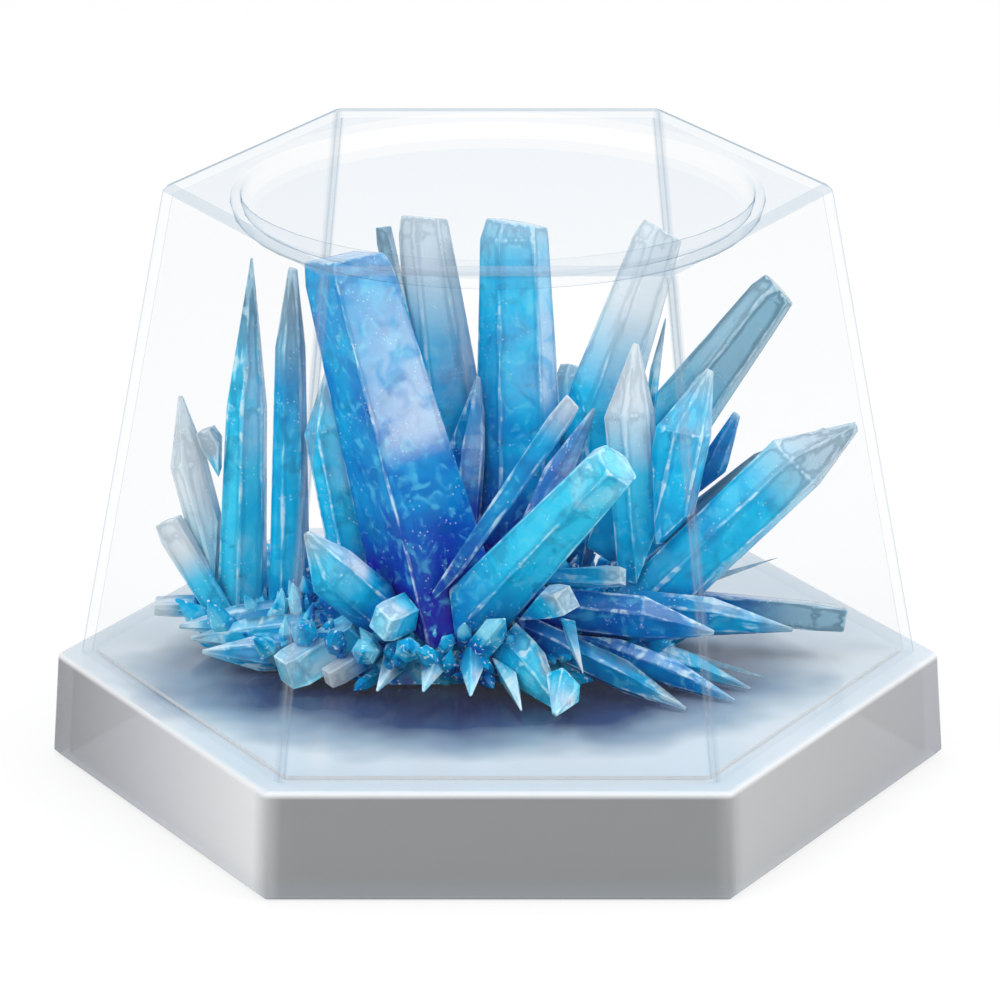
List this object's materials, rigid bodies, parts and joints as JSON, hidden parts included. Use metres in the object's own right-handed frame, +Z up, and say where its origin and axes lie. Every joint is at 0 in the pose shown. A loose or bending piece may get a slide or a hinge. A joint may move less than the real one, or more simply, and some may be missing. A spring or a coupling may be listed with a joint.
{
  "type": "crystal-growing dish",
  "caption": "Clear six-sided crystal-growing dish turned over as a display dome on a hollow smoky plinth, with the lift-off cluster of blue crystals grown in it.",
  "frame": {"origin": "middle of the plinth's foot, on the surface it stands on", "axes": "+Z up, -Y the front flat, +X towards the right-hand corner"},
  "size_m": [0.1112, 0.0966, 0.0743],
  "materials": {
    "clear_plastic": "clear moulded polystyrene, polished",
    "smoky_plastic": "smoky translucent polystyrene, lightly frosted inside",
    "seed_crust": "rough druse of small crystals",
    "deep_crystal": "glossy dyed salt crystal, deep blue",
    "sky_crystal": "glossy dyed salt crystal, sky blue",
    "pale_crystal": "glossy salt crystal, nearly clear",
    "smoky_crystal": "glossy salt crystal, clear with a grey cast"
  },
  "bodies": {
    "plinth": {"plinth": "smoky_plastic"},
    "cluster": {"seed_bed": "seed_crust", "crystal_great_prism": "deep_crystal", "crystal_front_prism": "sky_crystal", "crystal_centre_column": "sky_crystal", "crystal_right_column": "pale_crystal", "crystal_ice_column": "pale_crystal", "crystal_left_spire": "sky_crystal", "crystal_second_spire": "sky_crystal", "crystal_grey_beam": "smoky_crystal", "crystal_right_spear": "pale_crystal", "crystal_short_point": "pale_crystal", "crystal_broad_point": "sky_crystal", "crystal_diagonal_rod": "deep_crystal", "crystal_front_left_point": "sky_crystal", "crystal_pale_front_blade": "pale_crystal", "crystal_clear_blade": "sky_crystal", "crystal_broad_low_blade": "deep_crystal", "crystal_silver_finger": "smoky_crystal", "crystal_upper_right_point": "smoky_crystal", "crystal_dark_blade": "deep_crystal", "crystal_needle": "smoky_crystal", "crystal_shadow_rod": "deep_crystal", "crystal_back_dark_blade": "deep_crystal", "crystal_teal_point": "sky_crystal", "crystal_left_clear_point": "pale_crystal", "crystal_left_clear_chip": "pale_crystal", "crystal_left_round_stub": "pale_crystal", "crystal_left_slab": "pale_crystal", "crystal_left_low_blade_a": "sky_crystal", "crystal_left_low_blade_b": "sky_crystal", "crystal_left_low_blade_c": "sky_crystal", "crystal_front_left_slab": "pale_crystal", "crystal_front_left_chip": "pale_crystal", "crystal_pale_cube": "pale_crystal", "crystal_front_stub": "sky_crystal", "crystal_right_stub": "sky_crystal", "crystal_long_low_blade": "sky_crystal", "crystal_low_right_blade_c": "deep_crystal", "crystal_low_right_blade_b": "sky_crystal", "crystal_low_right_needle": "smoky_crystal", "crystal_front_tongue": "sky_crystal", "crystal_front_chip": "sky_crystal", "crystal_thin_white_needle": "pale_crystal", "crystal_small_grey_needle": "smoky_crystal", "crystal_ice_shard": "smoky_crystal", "crystal_front_spike_a": "sky_crystal", "crystal_front_spike_b": "sky_crystal", "crystal_front_spike_c": "pale_crystal", "crystal_back_column_left": "sky_crystal", "crystal_back_column_right": "sky_crystal", "crystal_back_spear_middle": "deep_crystal", "crystal_back_blade_a": "sky_crystal", "crystal_back_blade_b": "pale_crystal", "crystal_back_blade_c": "sky_crystal", "crystal_back_blade_d": "deep_crystal", "crystal_back_blade_e": "sky_crystal", "crystal_back_blade_f": "pale_crystal"},
    "dome": {"dome": "clear_plastic"}
  },
  "joints": [
    {"name": "cluster_lift", "type": "slide", "parent": "plinth", "child": "cluster", "axis": [0, 0, 1], "range_m": [0, 0.03]},
    {"name": "dome_lift", "type": "slide", "parent": "cluster", "child": "dome", "axis": [0, 0, 1], "range_m": [0, 0.075]}
  ]
}
